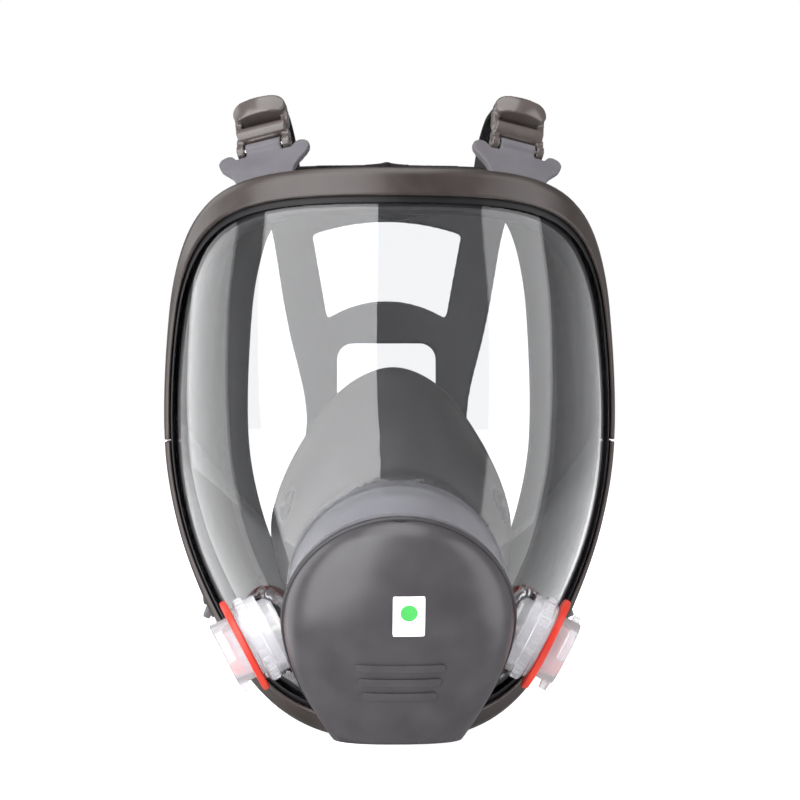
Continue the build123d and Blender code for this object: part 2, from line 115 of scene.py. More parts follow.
# %% The visor's edge
TOP, BOTTOM, EDGE_ANGLE = 105.0, -111.0, 85.0
TOP_POWER, BOTTOM_POWER = 2 / 3.4, 2 / 3.0


def outline(turn):
    """Angle and height of the edge; turn is -90 at the chin, 0 at the wearer's left and 90 at the brow."""
    c, s = math.cos(math.radians(turn)), math.sin(math.radians(turn))
    squareness, height = (TOP_POWER, TOP) if s > 0 else (BOTTOM_POWER, -BOTTOM)
    return (EDGE_ANGLE * math.copysign(abs(c) ** squareness, c),
            height * math.copysign(abs(s) ** squareness, s))


edge_rows = [(0.0, *outline(-90))]
for k in range(1, 721):
    before = on_visor(*edge_rows[-1][1:])[0]
    angle, z = outline(-90 + k / 4)
    edge_rows.append((edge_rows[-1][0] + (on_visor(angle, z)[0] - before).length, angle, z))
EDGE_LENGTH = edge_rows[-1][0]
SIDE_JOINT = min(edge_rows, key=lambda row: abs(row[2]))[0] / EDGE_LENGTH


def edge_at(share):
    want = share * EDGE_LENGTH
    k = next((i for i, row in enumerate(edge_rows) if row[0] >= want), len(edge_rows) - 1)
    if k == 0:
        return edge_rows[0][1:]
    (l0, a0, z0), (l1, a1, z1) = edge_rows[k - 1], edge_rows[k]
    f = (want - l0) / (l1 - l0)
    return a0 + (a1 - a0) * f, z0 + (z1 - z0) * f


def edge_frame(share):
    """Point, outward direction and surface normal at a share of the half edge."""
    here, normal = on_visor(*edge_at(share))
    if share <= 0 or share >= 1:
        along = Vector((1 if share <= 0 else -1, 0, 0))
    else:
        along = on_visor(*edge_at(min(1, share + 0.004)))[0] - on_visor(*edge_at(max(0, share - 0.004)))[0]
    return here, along.cross(normal).normalized(), normal


print("half edge", round(EDGE_LENGTH, 1), "mm, side joint at", round(SIDE_JOINT, 4))

# %% [markdown]
# ## Finishes
# Every finish starts from the real material and how its surface was made. A small function turns sRGB hex
# colours to linear, and another adds a node with its settings and links. Patterns read Object coordinates,
# and their scales are worked out from real sizes: a noise of size s metres has a scale of 1 / s.

# %% Node helpers
def linear(hexcode):
    """A linear RGBA colour from an sRGB hex value."""
    channels = [int(hexcode[k:k + 2], 16) / 255 for k in (1, 3, 5)]
    return [c / 12.92 if c <= 0.04045 else ((c + 0.055) / 1.055) ** 2.4 for c in channels] + [1.0]


def add(tree, kind, settings=None, inputs=None, links=None):
    """Adds a node, sets its properties and sockets, and links sockets of other nodes into it."""
    node = tree.nodes.new(kind)
    for key, value in (settings or {}).items():
        setattr(node, key, value)
    for key, value in (inputs or {}).items():
        node.inputs[key].default_value = value
    for key, socket in (links or {}).items():
        tree.links.new(socket, node.inputs[key])
    return node


def new_finish(name):
    """A material with its tree, its shader and its Object coordinates."""
    material = bpy.data.materials.new(name)
    material.use_nodes = True
    tree = material.node_tree
    shader = next(n for n in tree.nodes if n.type == "BSDF_PRINCIPLED")
    coordinates = add(tree, "ShaderNodeTexCoord")
    return material, tree, shader, coordinates.outputs["Object"]


print("white is", linear("#ffffff")[:3])

# %% [markdown]
# ## Moulded plastics and rubbers
# Moulded nylon has a spark-eroded grain of about half a millimetre and faint larger waves where the plastic
# cooled. Rubber is the same recipe, and the harness, the seal and the cup have a shallower grain and a lower
# IOR, so they shine less. One function makes them all, with the differences in its numbers.

# %% Moulded finish
def moulded(name, dark, light, roughness, grain_mm, relief_mm, cloud_mm=14.0, ior=1.5, sheen=0.0, coat=0.0):
    """A moulded surface: two close colours in slow clouds, an uneven gloss and a fine grain."""
    material, tree, shader, place = new_finish(name)
    clouds = add(tree, "ShaderNodeTexNoise", inputs={"Scale": 1 / (cloud_mm * MM), "Detail": 4.0},
                 links={"Vector": place})
    grain = add(tree, "ShaderNodeTexNoise", inputs={"Scale": 1 / (grain_mm * MM), "Detail": 3.0},
                links={"Vector": place})
    colour = add(tree, "ShaderNodeValToRGB", links={"Fac": clouds.outputs["Fac"]})
    colour.color_ramp.elements[0].position, colour.color_ramp.elements[1].position = 0.3, 0.7
    colour.color_ramp.elements[0].color, colour.color_ramp.elements[1].color = linear(dark), linear(light)
    gloss = add(tree, "ShaderNodeMapRange", inputs={"To Min": roughness - 0.05, "To Max": roughness + 0.07},
                links={"Value": clouds.outputs["Fac"]})
    bump = add(tree, "ShaderNodeBump", inputs={"Strength": 0.35, "Distance": relief_mm * MM},
               links={"Height": grain.outputs["Fac"]})
    tree.links.new(colour.outputs["Color"], shader.inputs["Base Color"])
    tree.links.new(gloss.outputs["Result"], shader.inputs["Roughness"])
    tree.links.new(bump.outputs["Normal"], shader.inputs["Normal"])
    shader.inputs["IOR"].default_value = ior
    shader.inputs["Sheen Weight"].default_value = sheen
    shader.inputs["Coat Weight"].default_value = coat
    shader.inputs["Coat Roughness"].default_value = 0.15
    return material


frame_nylon = moulded("moulded_glass_filled_nylon", "#2c2624", "#38312f", 0.3, 0.5, 0.05)
hood_nylon = moulded("spark_grained_nylon", "#383639", "#424043", 0.3, 0.45, 0.03)
adapter_nylon = moulded("grey_moulded_nylon", "#5a585d", "#66646a", 0.4, 0.45, 0.03)
# The hood rim's darker nylon is painted shade for the dark shadow line where the hood meets the visor. The
# adapter gasket takes the same finish.
rim_shade_and_gasket_nylon = moulded("dark_nylon_with_painted_rim_shade", "#2a282b", "#333134", 0.45, 0.45, 0.06)
buckle_acetal = moulded("polished_acetal", "#453f3d", "#514a48", 0.22, 1.2, 0.03, coat=0.25)
tab_rubber = moulded("moulded_grey_rubber", "#4e4b51", "#5c595f", 0.55, 0.7, 0.06, sheen=0.1)
harness_rubber = moulded("cast_silicone_rubber", "#111012", "#19181a", 0.48, 0.5, 0.015, ior=1.28)
seal_rubber = moulded("face_seal_thermoplastic_rubber", "#161517", "#1f1e20", 0.42, 0.5, 0.012, ior=1.3)
cup_rubber = moulded("nose_cup_thermoplastic_rubber", "#1f1d1e", "#292728", 0.38, 0.5, 0.006, ior=1.32)
gasket_rubber = moulded("red_silicone_rubber", "#b5210f", "#cf3320", 0.38, 0.9, 0.05)
black_rubber = moulded("nitrile_rubber", "#1b1b1d", "#242426", 0.5, 0.7, 0.05)
print("moulded finishes", len(bpy.data.materials))

# %% [markdown]
# ## Silicone flaps, paper and screws
# The valve flaps are thin, milky silicone, which lets some light into itself. The label is coated paper with
# a printed green spot. The clamp screws, nuts and pins are turned stainless steel with a fine grain.

# %% Flaps, paper and steel
flap_silicone = moulded("milky_silicone", "#b9b7ae", "#cbc9c0", 0.35, 0.8, 0.02)
flap_silicone.node_tree.nodes["Principled BSDF"].inputs["Subsurface Weight"].default_value = 0.3
flap_silicone.node_tree.nodes["Principled BSDF"].inputs["Subsurface Scale"].default_value = 0.002
label_paper = moulded("coated_label_paper", "#f0f0f0", "#fafafa", 0.4, 0.3, 0.01)
label_ink = moulded("green_printing_ink", "#3aa84a", "#49b858", 0.35, 0.3, 0.01)
pin_steel = moulded("turned_stainless_steel", "#a9a8a6", "#c0bfbd", 0.28, 0.4, 0.02)
pin_steel.node_tree.nodes["Principled BSDF"].inputs["Metallic"].default_value = 1.0
print("steel is metallic", pin_steel.node_tree.nodes["Principled BSDF"].inputs["Metallic"].default_value)

# %% [markdown]
# ## Clear polycarbonate
# The visor, the collar and the port connectors are polycarbonate. Their IOR is set a little under the real
# 1.58, for weaker reflections. The visor is polished, the collar is frosted, and the ports are a little
# milky. Light through a bending shader arrives as slow, noisy caustics, so shadow rays pass straight through
# a Transparent shader.

# %% Clear polycarbonate
def clear_plastic(name, tint, roughness, ior, haze_mm, clearness=1.0):
    """Clear plastic that lets lamps through, with a very slight unevenness of its polish."""
    material, tree, shader, place = new_finish(name)
    shader.inputs["Base Color"].default_value = linear(tint)
    shader.inputs["Transmission Weight"].default_value = clearness
    shader.inputs["IOR"].default_value = ior
    polish = add(tree, "ShaderNodeTexNoise", inputs={"Scale": 1 / (haze_mm * MM), "Detail": 2.0},
                 links={"Vector": place})
    gloss = add(tree, "ShaderNodeMapRange", inputs={"To Min": roughness * 0.6, "To Max": roughness * 1.4},
                links={"Value": polish.outputs["Fac"]})
    tree.links.new(gloss.outputs["Result"], shader.inputs["Roughness"])
    path = add(tree, "ShaderNodeLightPath")
    through = add(tree, "ShaderNodeBsdfTransparent", inputs={"Color": linear(tint)})
    mix = add(tree, "ShaderNodeMixShader", links={"Fac": path.outputs["Is Shadow Ray"]})
    tree.links.new(shader.outputs["BSDF"], mix.inputs[1])
    tree.links.new(through.outputs["BSDF"], mix.inputs[2])
    output = next(n for n in tree.nodes if n.type == "OUTPUT_MATERIAL")
    tree.links.new(mix.outputs["Shader"], output.inputs["Surface"])
    return material


visor_clear = clear_plastic("hard_coated_polycarbonate", "#f7f8fa", 0.015, 1.5, 40)
port_clear = clear_plastic("moulded_polycarbonate", "#f4f4f6", 0.2, 1.45, 6, clearness=0.88)
collar_clear = clear_plastic("frosted_polycarbonate", "#cfcfd4", 0.4, 1.45, 5)
print("clear finishes made")

# %% [markdown]
# ## Turning a bmesh into a piece
# Pieces are modelled in millimetres, like the drawing, then scaled to metres. Doubles are merged and normals
# recalculated before any wall gets its thickness. Faces meeting at more than a set angle keep a sharp edge,
# and the rest shade smoothly.

# %% Finish a piece
def finish_piece(name, bm, material, body, stands_for=(), angle=40):
    """Makes an object of a millimetre bmesh and makes it ride on a CAD body."""
    bmesh.ops.remove_doubles(bm, verts=bm.verts, dist=0.002)
    bmesh.ops.recalc_face_normals(bm, faces=bm.faces)
    bmesh.ops.scale(bm, vec=(MM, MM, MM), verts=bm.verts)
    mesh = bpy.data.meshes.new(name)
    bm.to_mesh(mesh)
    bm.free()
    mesh.shade_smooth()
    mesh.set_sharp_from_angle(angle=math.radians(angle))
    piece = bpy.data.objects.new(name, mesh)
    bpy.context.scene.collection.objects.link(piece)
    mesh.materials.append(material)
    if body:
        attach(piece, body)
    if stands_for:
        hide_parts(*stands_for)
    print(name, len(mesh.vertices), "vertices")
    return piece


def rounded(piece, width_mm, segments=2, angle=35):
    """A bevel on every edge sharper than angle."""
    bevel = piece.modifiers.new("rounding", "BEVEL")
    bevel.width = width_mm * MM
    bevel.segments = segments
    bevel.limit_method = "ANGLE"
    bevel.angle_limit = math.radians(angle)
    bevel.harden_normals = False
    return piece


def subdivided(piece, levels):
    surf = piece.modifiers.new("subdivision", "SUBSURF")
    surf.levels = surf.render_levels = levels
    return piece


def walled(piece, thickness_mm, offset=-1.0):
    wall = piece.modifiers.new("wall", "SOLIDIFY")
    wall.thickness = thickness_mm * MM
    wall.offset = offset
    return piece


def mirrored_copy(piece, name, body, stands_for=()):
    """The other side's piece: the mesh mirrored about X = 0, with the same modifiers."""
    bm = bmesh.new()
    bm.from_mesh(piece.data)
    bmesh.ops.scale(bm, vec=(-1 / MM, 1 / MM, 1 / MM), verts=bm.verts)
    copy = finish_piece(name, bm, piece.data.materials[0], body, stands_for)
    for old in piece.modifiers:
        new = copy.modifiers.new(old.name, old.type)
        for key in ("width", "segments", "limit_method", "angle_limit", "levels", "render_levels",
                    "thickness", "offset"):
            if hasattr(old, key):
                setattr(new, key, getattr(old, key))
    return copy


# %% [markdown]
# ## Sweeps and turned shapes
# A channel, a strap or a rubber lip is one section carried along a route. Its first section is a loop of
# edges, and each further one is that loop extruded and set on the next section. A ring is a section spun
# about an axis.

# %% Sweep and spin
def sweep(bm, sections, loop=False, caps=True):
    """Extrudes a closed section through all the others. loop joins the last to the first."""
    count = len(sections[0])
    verts = [bm.verts.new(p) for p in sections[0]]
    edges = [bm.edges.new((verts[i], verts[(i + 1) % count])) for i in range(count)]
    first = edges
    for section in sections[1:]:
        made = bmesh.ops.extrude_edge_only(bm, edges=edges)
        new = {g for g in made["geom"] if isinstance(g, bmesh.types.BMVert)}
        verts = [next(e.other_vert(v) for e in v.link_edges if e.other_vert(v) in new) for v in verts]
        for v, p in zip(verts, section):
            v.co = p
        edges = [bm.edges.get((verts[i], verts[(i + 1) % count])) for i in range(count)]
    if loop:
        bmesh.ops.bridge_loops(bm, edges=first + edges)
    elif caps:
        bmesh.ops.contextual_create(bm, geom=first)
        bmesh.ops.contextual_create(bm, geom=edges)
    return bm


def spun(bm, section, matrix, steps=64):
    """A closed section of (radius, height) points spun a full turn about the matrix's Z axis."""
    verts = [bm.verts.new((r, 0, s)) for r, s in section]
    edges = [bm.edges.new((verts[i], verts[(i + 1) % len(verts)])) for i in range(len(verts))]
    bmesh.ops.spin(bm, geom=verts + edges, cent=(0, 0, 0), axis=(0, 0, 1), dvec=(0, 0, 0),
                   angle=math.tau, steps=steps, use_merge=True, use_duplicate=False)
    bmesh.ops.remove_doubles(bm, verts=bm.verts, dist=0.002)
    bmesh.ops.transform(bm, matrix=matrix, verts=bm.verts)
    return bm


def facing(origin, axis, across):
    """A matrix whose Z is the axis and whose X is across, squared up."""
    z = Vector(axis).normalized()
    x = Vector(across)
    x = (x - z * x.dot(z)).normalized()
    y = z.cross(x)
    return Matrix.Translation(Vector(origin)) @ Matrix((x, y, z)).transposed().to_4x4()


tilt = math.radians(25)
ADAPTER = facing((0, -97, -60), (0, -math.cos(tilt), -math.sin(tilt)), (1, 0, 0))
PORT = facing((61, -69, -79.5), (0.885, -0.08, -0.46), (0, 1, 0))
CUP_PORT = facing((40, -42, -26), (0.86, -0.45, 0.25), (0, 0, 1))
print("adapter looks", ADAPTER.col[2].to_3d())

# %% [markdown]
# ## The visor
# The real visor is one injection-moulded shell. A square grid is wrapped onto the analytic surface, each
# square ring of the grid going to a smaller copy of the outline, so the lens has no facets to break its
# reflections. Faces inside the collar and the ports are cut away. The rim of each hole is drawn onto its
# circle, and dropped back onto the surface along the hole's axis.

# %% The visor's shell
COLLAR_HOLE_R, PORT_HOLE_R, VISOR_THICK = 41.0, 14.5, 2.4


def wrapped_visor(count=96):
    """The whole shell, before its holes, as a square grid wrapped onto the surface."""
    bm = bmesh.new()
    bmesh.ops.create_grid(bm, x_segments=count, y_segments=count, size=1)
    for v in bm.verts:
        reach = max(abs(v.co.x), abs(v.co.y))
        angle, z = outline(math.degrees(math.atan2(v.co.y, v.co.x))) if reach > 1e-6 else (0, 0)
        v.co = on_visor(angle * reach, z * reach)[0]
    return bm


def cut_round_hole(bm, matrix, radius, slack):
    """Deletes the faces inside a circle about the matrix's axis and draws the rim onto that circle."""
    surface = BVHTree.FromBMesh(bm)
    inverse = matrix.inverted()
    inward = -matrix.col[2].to_3d()
    local = {v: inverse @ v.co for v in bm.verts}
    near = [v for v in bm.verts if local[v].xy.length < radius and -40 < local[v].z < 25]
    bmesh.ops.delete(bm, geom=near, context="VERTS")
    for v in [v for v in bm.verts if v.is_boundary]:
        place = inverse @ v.co
        if place.xy.length < radius + slack and -40 < place.z < 25:
            above = matrix @ Vector((*(place.xy.normalized() * radius), 25))
            hit = surface.ray_cast(above, inward)[0]
            v.co = hit or v.co


bm = wrapped_visor()
whole_shell = BVHTree.FromBMesh(bm)
right_port = Matrix.Scale(-1, 4, (1, 0, 0)) @ PORT
cut_round_hole(bm, ADAPTER, COLLAR_HOLE_R, 3.5)
cut_round_hole(bm, PORT, PORT_HOLE_R, 3.0)
cut_round_hole(bm, right_port, PORT_HOLE_R, 3.0)
visor = finish_piece("visor_shell", bm, visor_clear, "mask", ["visor"], angle=180)
walled(visor, VISOR_THICK)

# %% [markdown]
# ## Collar and port bosses
# The visor's collar holds the adapter, and each port has a drum with moulded flutes. They are turned sections
# in the same plastic, with the flutes as a ring of small ribs. The collar looks down at an angle, so its
# inner end is moved to where the shell is, column by column.

# %% Collar and port bosses
bm = bmesh.new()
COLLAR_SECTION = [(39.4, -9), (42.3, -9), (42.5, 4.2), (41.8, 5.0), (40.2, 5.0), (39.4, 4.2)]
spun(bm, COLLAR_SECTION, Matrix.Identity(4), steps=96)
for v in [v for v in bm.verts if v.co.z < -8]:
    hit = whole_shell.ray_cast(ADAPTER @ Vector((v.co.x, v.co.y, 25)), -ADAPTER.col[2].to_3d())[0]
    v.co.z = min(2.0, (ADAPTER.inverted() @ hit).z - 1.5)
bmesh.ops.transform(bm, matrix=ADAPTER, verts=bm.verts)
finish_piece("visor_collar", bm, collar_clear, "mask")


def port_drum():
    """A drum from the visor to the gasket, with a stepped rim and 30 flutes."""
    bm = bmesh.new()
    spun(bm, [(13.7, -13.5), (16.2, -13.5), (16.2, -9.6), (17.4, -9.0), (17.4, -5.0), (15.6, -4.4),
              (15.6, -3.3), (13.7, -3.3)], Matrix.Identity(4), steps=60)
    for k in range(30):
        rib = bmesh.ops.create_cube(bm, size=1)["verts"]
        bmesh.ops.scale(bm, vec=(1.0, 1.2, 3.2), verts=rib)
        bmesh.ops.translate(bm, vec=(17.3, 0, -7.0), verts=rib)
        bmesh.ops.rotate(bm, cent=(0, 0, 0), matrix=Matrix.Rotation(math.tau * k / 30, 3, "Z"), verts=rib)
    bmesh.ops.transform(bm, matrix=PORT, verts=bm.verts)
    return bm


drum = rounded(finish_piece("port_drum_left", port_drum(), port_clear, "mask"), 0.25)
mirrored_copy(drum, "port_drum_right", "mask")

# %% [markdown]
# ## Two-part frame
# The frame is a U channel in glass-filled nylon that clamps the seal's bead onto the visor's edge. Its
# section has a fat rounded outer lip and a thin inner one. A sweep of that section along the edge makes each
# half, and a small gap at each side joint shows that there are two.

# %% Frame halves
FRAME_SECTION = [(-7.0, 1.9), (2.7, 1.9), (2.7, -4.5), (-5.5, -4.5), (-5.5, -6.7), (3.2, -6.7), (4.5, -6.1),
                 (5.1, -5.0), (5.1, 2.0), (4.6, 3.2), (3.4, 4.0), (0.5, 4.0), (-1.2, 3.5), (-6.2, 3.5),
                 (-7.0, 2.9)]


def edge_section(section, share, side):
    """A section of (outward, normal) points placed on the edge, on one side of the face."""
    here, outward, normal = edge_frame(share)
    points = [here + outward * b + normal * n for b, n in section]
    if share <= 0 or share >= 1:
        points = [Vector((0, p.y, p.z)) for p in points]
    return [Vector((side * p.x, p.y, p.z)) for p in points]


def edge_route(low, high, count):
    """Shares and sides from one side joint over the middle to the other."""
    shares = [low + (high - low) * k / count for k in range(count + 1)]
    middle_last = high >= 1
    run = shares if middle_last else shares[::-1]
    return [(s, 1) for s in run] + [(s, -1) for s in run[-2::-1]]


def frame_half(low, high):
    bm = bmesh.new()
    sweep(bm, [edge_section(FRAME_SECTION, share, side) for share, side in edge_route(low, high, 48)])
    return bm


for name, low, high in (("frame_upper", SIDE_JOINT + 0.0012, 1.0), ("frame_lower", 0.0, SIDE_JOINT - 0.0012)):
    half = finish_piece(f"{name}_band", frame_half(low, high), frame_nylon, "mask", [name])
    rounded(half, 0.35)

# %% [markdown]
# ## Clamp lugs
# Behind each side joint the halves end in two ears that one screw draws together. Each ear is a spun eye, so
# its screw hole is round and clean, with a block for the foot that joins it to the frame.

# %% Clamp lugs
joint_at, _, joint_out = edge_frame(SIDE_JOINT)
JOINT = facing(joint_at, (0, 0, 1), joint_out)


def lug(low, high, side):
    bm = bmesh.new()
    eye = [(1.75, low), (4.0, low), (4.0, high), (1.75, high)]
    spun(bm, eye, Matrix.Translation((-1.0, 8.6, 0)), steps=40)
    foot = bmesh.ops.create_cube(bm, size=1)["verts"]
    bmesh.ops.scale(bm, vec=(6.6, 3.0, high - low), verts=foot)
    bmesh.ops.translate(bm, vec=(-1.0, 5.0, (low + high) / 2), verts=foot)
    bmesh.ops.transform(bm, matrix=JOINT, verts=bm.verts)
    bmesh.ops.scale(bm, vec=(side, 1, 1), verts=bm.verts)
    return bm


for side, word in ((1, "left"), (-1, "right")):
    for low, high, half in ((0.3, 9.0, "upper"), (-9.0, -0.3, "lower")):
        rounded(finish_piece(f"clamp_lug_{half}_{word}", lug(low, high, side), frame_nylon, "mask"), 0.5)

# %% [markdown]
# ## Face seal
# The seal is one moulding: a bead gripped by the frame, a thin lip over the visor's edge, a neck, and a soft
# flange that rolls in to lie on the face. Its section changes round the face, so the section is a function of
# the share, and a subdivision surface gives the rubber its soft folds.

# %% Face seal
def seal_section(share):
    """Bead, outside and inside of the seal at a share of the half edge."""
    at_chin_half = share < SIDE_JOINT
    turn = share / (2 * SIDE_JOINT) if at_chin_half else 1 - (1 - share) / (2 * (1 - SIDE_JOINT))
    side = math.sin(math.pi * turn)
    out = side * 19 + (1 - side) * (7 if at_chin_half else -2)
    back = side * -33 + (1 - side) * (-34 if at_chin_half else -33)
    bead = [(2.3, -4.1), (2.3, 0.4), (2.3, 1.5), (0.5, 1.55), (-8.6, 1.5), (-9.5, 1.0), (-9.5, 0.35),
            (0.4, 0.35), (0.8, 0.0), (0.8, -2.8), (-4.0, -3.1), (-12.0, -3.5)]
    outer = [(-9.8, -4.3), (-9.4, -8.0), (-3.5, -11.5), (out * 0.55 + 2, -14.5), (out + 1.5, back * 0.62),
             (out + 0.5, back * 0.86), (out - 4, back)]
    inner = [(out - 5.2, back + 1.8), (out - 2.2, back * 0.86 + 1.2), (out - 1.3, back * 0.62 + 1.2),
             (out * 0.5 - 0.5, -16.8), (-6.2, -13.4), (-12.2, -9.4)]
    return bead + inner[::-1] + outer[::-1]


bm = bmesh.new()
route = [(k / 60, 1) for k in range(60)] + [(1 - k / 60, -1) for k in range(60)]
sweep(bm, [edge_section(seal_section(share), share, side) for share, side in route], loop=True)
subdivided(finish_piece("seal_moulding", bm, seal_rubber, "mask", ["face_seal"], angle=60), 1)

# %% [markdown]
# ## Nose cup
# The cup is a soft cone from the face to the ring behind the adapter. Its columns run from a
# rounded-triangle rim to a circle with a slight bulge, and each column starts where it meets the face, so
# the rim dips over the nose. A hole on each side takes a valve seat, and is cut a little small so the seat's
# ring covers its edge. The open sheet then gets a 2 mm wall.

# %% Nose cup
CUP_HOLE_R = 7.5
CUP_RIM = ((0, 52), (20, 35), (36, 6), (47, -19), (50, -38), (43, -58), (26, -71), (0, -75))
FACE_CURVE = ((0, -39), (17, -33), (33, -23), (48, -16), (60, -10))


def cup_column(k, x, z):
    """One column as a function of f: 0 at the upright plane behind, 1 at the front ring."""
    turn = math.radians(90 - 180 * k / (len(CUP_RIM) - 1))
    end = ADAPTER @ Vector((36.5 * math.cos(turn), 36.5 * math.sin(turn), -15.5))
    front, start, centre = ADAPTER @ Vector((0, 0, -15.5)), Vector((x, -8, z)), Vector((0, -8, -28))

    def at(f):
        way = start.lerp(end, f)
        return way + (way - centre.lerp(front, f)).normalized() * (3.5 * math.sin(math.pi * f))
    return at


def meets_face(column):
    """The share of a column where it comes off the face, by halving."""
    low, high = 0.0, 0.8
    for _ in range(30):
        f = (low + high) / 2
        p = column(f)
        low, high = (f, high) if p.y > smooth(abs(p.x), FACE_CURVE) else (low, f)
    return low


columns = [cup_column(k, x, z) for k, (x, z) in enumerate(CUP_RIM)]
starts = [meets_face(c) for c in columns]


def closed_ring(points, steps=6):
    """A smooth closed curve through the wearer's-left points and their mirror images."""
    whole = points + [Vector((-p.x, p.y, p.z)) for p in points[-2:0:-1]]
    n = len(whole)
    ring = []
    for i in range(n):
        a, b, c, d = whole[i - 1], whole[i], whole[(i + 1) % n], whole[(i + 2) % n]
        for step in range(steps):
            t = step / steps
            ring.append(0.5 * (2 * b + (c - a) * t + (2 * a - 5 * b + 4 * c - d) * t * t
                               + (3 * b - 3 * c + d - a) * t ** 3))
    return ring


bm = bmesh.new()
rows = []
for f in (0, 0.03, *(k / 25 for k in range(2, 24)), 0.96, 1.0):
    lift = 1.3 if 0.83 < f < 0.91 else (1.0 if f == 0 else 0)
    ring = closed_ring([c(s + (1 - s) * f) for c, s in zip(columns, starts)], steps=9)
    middle = sum(ring, Vector()) / len(ring)
    rows.append([p + (p - middle).normalized() * lift for p in ring])
sweep(bm, rows, caps=False)
for side in (1, -1):
    cut_round_hole(bm, Matrix.Scale(side, 4, (1, 0, 0)) @ CUP_PORT, CUP_HOLE_R, 4.0)
cup = finish_piece("nose_cup_moulding", bm, cup_rubber, "mask", ["nose_cup"], angle=70)
walled(cup, 2.0)
subdivided(cup, 1)

# %% [markdown]
# ## Hood
# The hood over the exhalation valve is a nylon dome, round at the top and drawn in to an open mouth at the
# foot. It is a sweep of half sections down its length, and a level plane cuts the mouth off straight.

# %% Hood
HOOD_BASE, HOOD_R, HOOD_TALL, HOOD_FOOT, HOOD_CUT = 10.1, 44.0, 21.0, -49.0, -112.0
HOOD_ROUND = 0.85  # the power that squares the half sections a little; 1 is a plain ellipse


def hood_size(v):
    """Half width and height of the hood at v above its axis."""
    if v >= 0:
        f = math.sqrt(max(0, 1 - (v / HOOD_R) ** 2))
        return HOOD_R * f, HOOD_TALL * f ** 0.8
    f = v / HOOD_FOOT
    return HOOD_R - 18 * f ** 1.8, HOOD_TALL + 1.5 * f


def hood_row(v):
    wide, tall = hood_size(v)
    row = []
    for turn in range(0, 181, 5):
        c, s = math.cos(math.radians(turn)), math.sin(math.radians(turn))
        x = wide * math.copysign(abs(c) ** HOOD_ROUND, c)
        row.append(ADAPTER @ Vector((x, v, HOOD_BASE + tall * abs(s) ** HOOD_ROUND)))
    return row


def open_sweep(bm, rows):
    """Extrudes an open row of edges through all the others."""
    verts = [bm.verts.new(p) for p in rows[0]]
    edges = [bm.edges.new(pair) for pair in zip(verts, verts[1:])]
    for row in rows[1:]:
        made = bmesh.ops.extrude_edge_only(bm, edges=edges)
        new = {g for g in made["geom"] if isinstance(g, bmesh.types.BMVert)}
        verts = [next(e.other_vert(v) for e in v.link_edges if e.other_vert(v) in new) for v in verts]
        for v, p in zip(verts, row):
            v.co = p
        edges = [bm.edges.get(pair) for pair in zip(verts, verts[1:])]
    return bm


def level_foot(bm):
    """Cuts the hood's mouth off level."""
    everything = [*bm.verts, *bm.edges, *bm.faces]
    bmesh.ops.bisect_plane(bm, geom=everything, plane_co=(0, 0, HOOD_CUT), plane_no=(0, 0, 1),
                           clear_inner=True)


bm = bmesh.new()
heights = [HOOD_FOOT - HOOD_FOOT * k / 12 for k in range(12)]
heights += [(HOOD_R - 0.2) * math.sin(math.radians(k * 5)) for k in range(19)]
open_sweep(bm, [hood_row(v) for v in heights])
level_foot(bm)
hood = finish_piece("hood_shell", bm, hood_nylon, "hood", ["exhalation_hood"], angle=60)
walled(hood, 2.2)

# %% [markdown]
# ## Hood rim, ribs and label
# A raised rim runs round the dome's edge. Its darker nylon is painted shade for the shadow line along that
# edge. Three plain grip ribs stand where the fingers pull the hood off. The label is a paper rectangle with a
# green spot. Ribs and label are flat grids bent onto the dome.

# %% Hood trim
bm = bmesh.new()
rim_line = [Vector((hood_size(v)[0], v, 0)) for v in heights] + [Vector((0, HOOD_R, 0))]
rim_line += [Vector((-p.x, p.y, 0)) for p in rim_line[-2::-1]]
rows = []
for i, p in enumerate(rim_line):
    along = (rim_line[min(i + 1, len(rim_line) - 1)] - rim_line[max(i - 1, 0)]).normalized()
    out = Vector((along.y, -along.x, 0))
    rows.append([ADAPTER @ (p + out * a + Vector((0, 0, HOOD_BASE + b)))
                 for a, b in ((-2.2, 0), (0.5, 0), (0.9, 0.5), (0.9, 2.0), (0.4, 2.6), (-2.2, 2.9))])
sweep(bm, rows)
level_foot(bm)
bmesh.ops.holes_fill(bm, edges=[e for e in bm.edges if e.is_boundary], sides=0)
# The rim's darker finish is painted shade for the shadow line along the hood's edge.
rounded(finish_piece("hood_rim", bm, rim_shade_and_gasket_nylon, "hood"), 0.25)


def on_hood(x, v, grow):
    """The point of the dome over (x, v)."""
    wide, tall = hood_size(v)
    c = min(1.0, abs(x) / wide) ** (1 / HOOD_ROUND)
    return ADAPTER @ Vector((x, v, HOOD_BASE + tall * math.sqrt(1 - c * c) ** HOOD_ROUND + grow))


def hood_patch(name, material, middle, size, grow, thickness, corner, stands_for=()):
    """A thin plate with rounded corners, bent onto the dome."""
    bm = bmesh.new()
    bmesh.ops.create_grid(bm, x_segments=24, y_segments=16, size=1)
    for vert in bm.verts:
        x, y = vert.co.x * size[0] / 2, vert.co.y * size[1] / 2
        over_x, over_y = abs(x) - (size[0] / 2 - corner), abs(y) - (size[1] / 2 - corner)
        if over_x > 0 and over_y > 0:
            reach = max(over_x, over_y) / math.hypot(over_x, over_y)
            x = math.copysign(size[0] / 2 - corner + over_x * reach, x)
            y = math.copysign(size[1] / 2 - corner + over_y * reach, y)
        vert.co = on_hood(middle[0] + x, middle[1] + y, grow)
    patch = finish_piece(name, bm, material, "hood", stands_for)
    return walled(patch, thickness)


